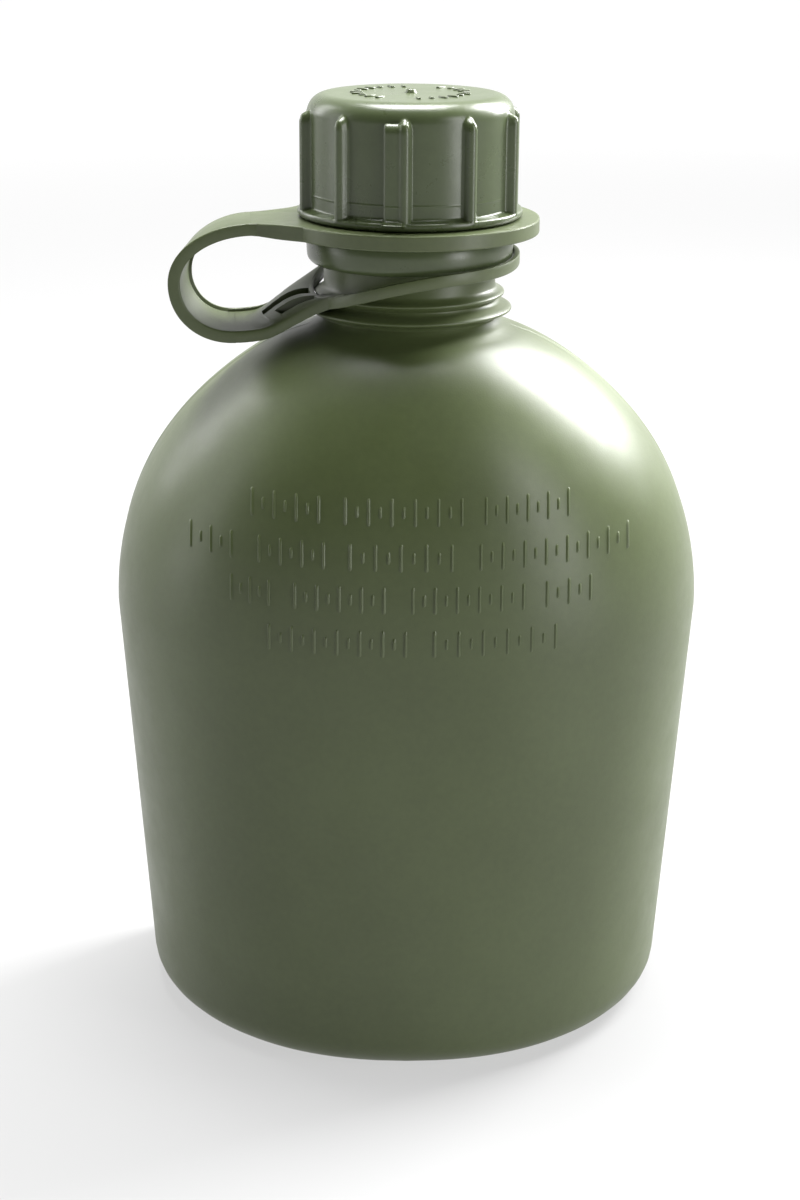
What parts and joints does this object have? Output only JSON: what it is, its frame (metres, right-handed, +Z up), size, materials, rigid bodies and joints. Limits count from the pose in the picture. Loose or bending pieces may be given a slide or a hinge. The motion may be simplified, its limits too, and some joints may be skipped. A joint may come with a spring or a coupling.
{
  "type": "canteen",
  "caption": "Kidney-section moulded plastic water canteen with a ribbed screw cap, its gasket, and a moulded strap that keeps the cap on the bottle.",
  "frame": {"origin": "centre of the flat base under the neck's axis, on the surface that the canteen stands on", "axes": "+Z up along the neck's axis, -Y out of the bulging front face, +X to the right seen from the front"},
  "size_m": [0.133, 0.0784, 0.208],
  "materials": {
    "bottle_plastic": "olive drab high-density polyethylene, blow-moulded, fine satin grain",
    "cap_plastic": "olive drab polyethylene, injection-moulded, satin with a slight gloss",
    "strap_plastic": "olive drab flexible polyethylene, injection-moulded, satin",
    "gasket_rubber": "black moulded rubber, matte"
  },
  "bodies": {
    "bottle_body": {"bottle": "bottle_plastic"},
    "strap": {"strap_neck_ring": "strap_plastic", "strap_band": "strap_plastic"},
    "cap_ring": {"strap_cap_ring": "strap_plastic"},
    "gasket": {"cap_gasket": "gasket_rubber"},
    "cap": {"cap": "cap_plastic"}
  },
  "joints": [
    {"name": "strap_swivel", "type": "hinge", "parent": "bottle_body", "child": "strap", "pos_m": [0, 0, 0.165], "axis": [0, 0, 1], "continuous": true},
    {"name": "cap_rise", "type": "slide", "parent": "strap", "child": "cap_ring", "axis": [0, 0, 1], "range_m": [0, 0.00735]},
    {"name": "cap_hold", "type": "hinge", "parent": "cap_ring", "child": "gasket", "pos_m": [0, 0, 0.19], "axis": [0, 0, 1], "continuous": true},
    {"name": "cap_turn", "type": "hinge", "parent": "gasket", "child": "cap", "pos_m": [0, 0, 0.19], "axis": [0, 0, 1], "range_deg": [0, 630]}
  ],
  "couplings": [
    {"joint": "cap_hold", "follows": "strap_swivel", "ratio": -1},
    {"joint": "cap_turn", "follows": "cap_rise", "rad_per_m": 1496}
  ]
}
